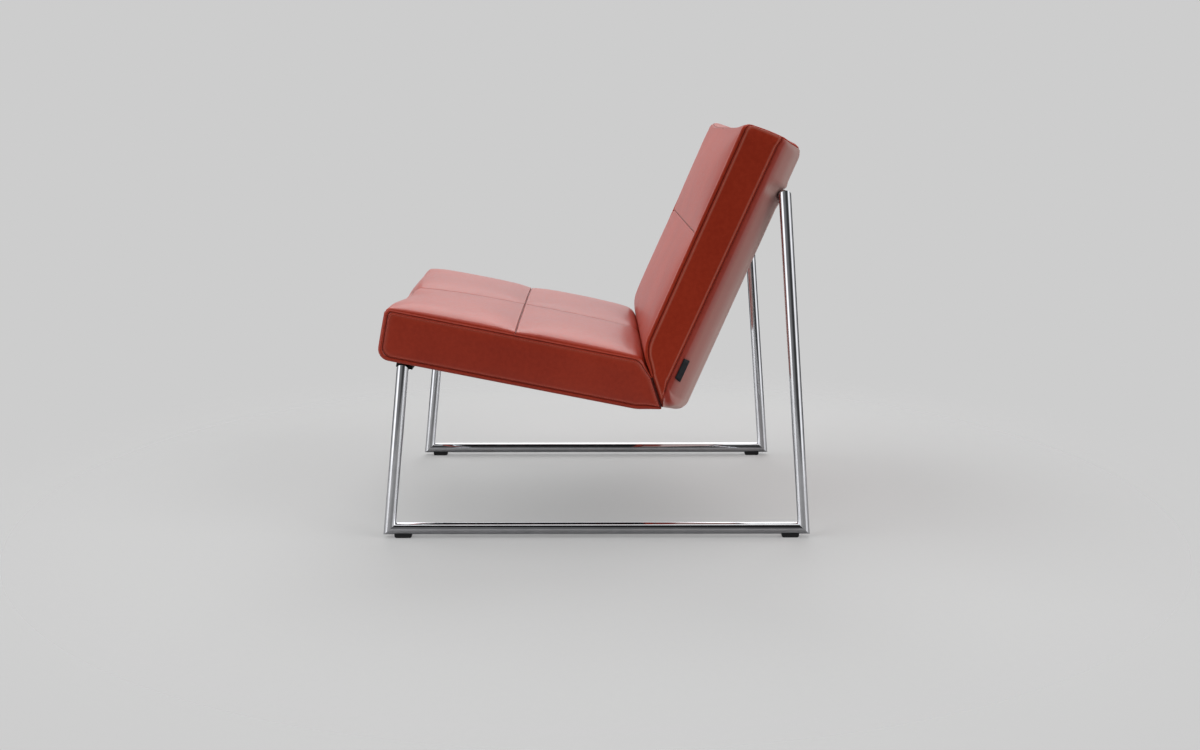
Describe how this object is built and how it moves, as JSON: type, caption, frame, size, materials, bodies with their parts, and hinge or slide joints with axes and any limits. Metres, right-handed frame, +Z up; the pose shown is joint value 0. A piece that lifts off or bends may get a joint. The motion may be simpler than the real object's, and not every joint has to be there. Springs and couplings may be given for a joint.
{
  "type": "lounge chair",
  "caption": "Low armless lounge chair: a leather seat and reclined back, joined in an L, hung between straight chromed tube side frames by a front and a rear crossbar.",
  "frame": {"origin": "on the floor under the middle of the base, halfway between the side frames and between the runners' ends", "axes": "+X to the sitter's left, the side the picture was taken from; -Y to the front of the seat; +Z up"},
  "size_m": [0.632, 0.7901, 0.7531],
  "materials": {
    "chrome": "polished chrome plate on steel tube",
    "glide_nylon": "satin black nylon",
    "saddle_rubber": "matt black rubber",
    "fixing_steel": "zinc plated",
    "plywood": "raw birch plywood",
    "beech": "planed beech",
    "webbing": "woven elastic webbing",
    "foam": "cut polyurethane foam",
    "leather": "smooth aniline leather, brick red, light sheen",
    "rear_leather": "smooth aniline leather, brick red, light sheen",
    "base_fabric": "matt black spunbond cloth",
    "tab_fabric": "black woven tab, bare"
  },
  "bodies": {
    "root": {"left_front_leg": "chrome", "right_front_leg": "chrome", "left_rear_leg": "chrome", "right_rear_leg": "chrome", "left_runner": "chrome", "right_runner": "chrome", "front_crossbar": "chrome", "rear_crossbar": "chrome", "front_left_glide": "glide_nylon", "front_right_glide": "glide_nylon", "rear_left_glide": "glide_nylon", "rear_right_glide": "glide_nylon", "front_saddles": "saddle_rubber", "front_bolts": "fixing_steel", "rear_bolts": "fixing_steel", "front_insert_nuts": "fixing_steel", "rear_insert_nuts": "fixing_steel", "left_side_panel": "plywood", "right_side_panel": "plywood", "seat_front_rail": "beech", "heel_rail": "beech", "back_fixing_rail": "beech", "back_top_rail": "beech", "rear_board": "plywood", "seat_webbing": "webbing", "back_webbing": "webbing", "seat_foam": "foam", "back_foam": "foam", "seat_cover": "leather", "back_cover": "leather", "rear_cover": "rear_leather", "base_cover": "base_fabric", "left_seat_side": "leather", "right_seat_side": "leather", "left_back_side": "leather", "right_back_side": "leather", "seam_tab": "tab_fabric"}
  },
  "joints": []
}
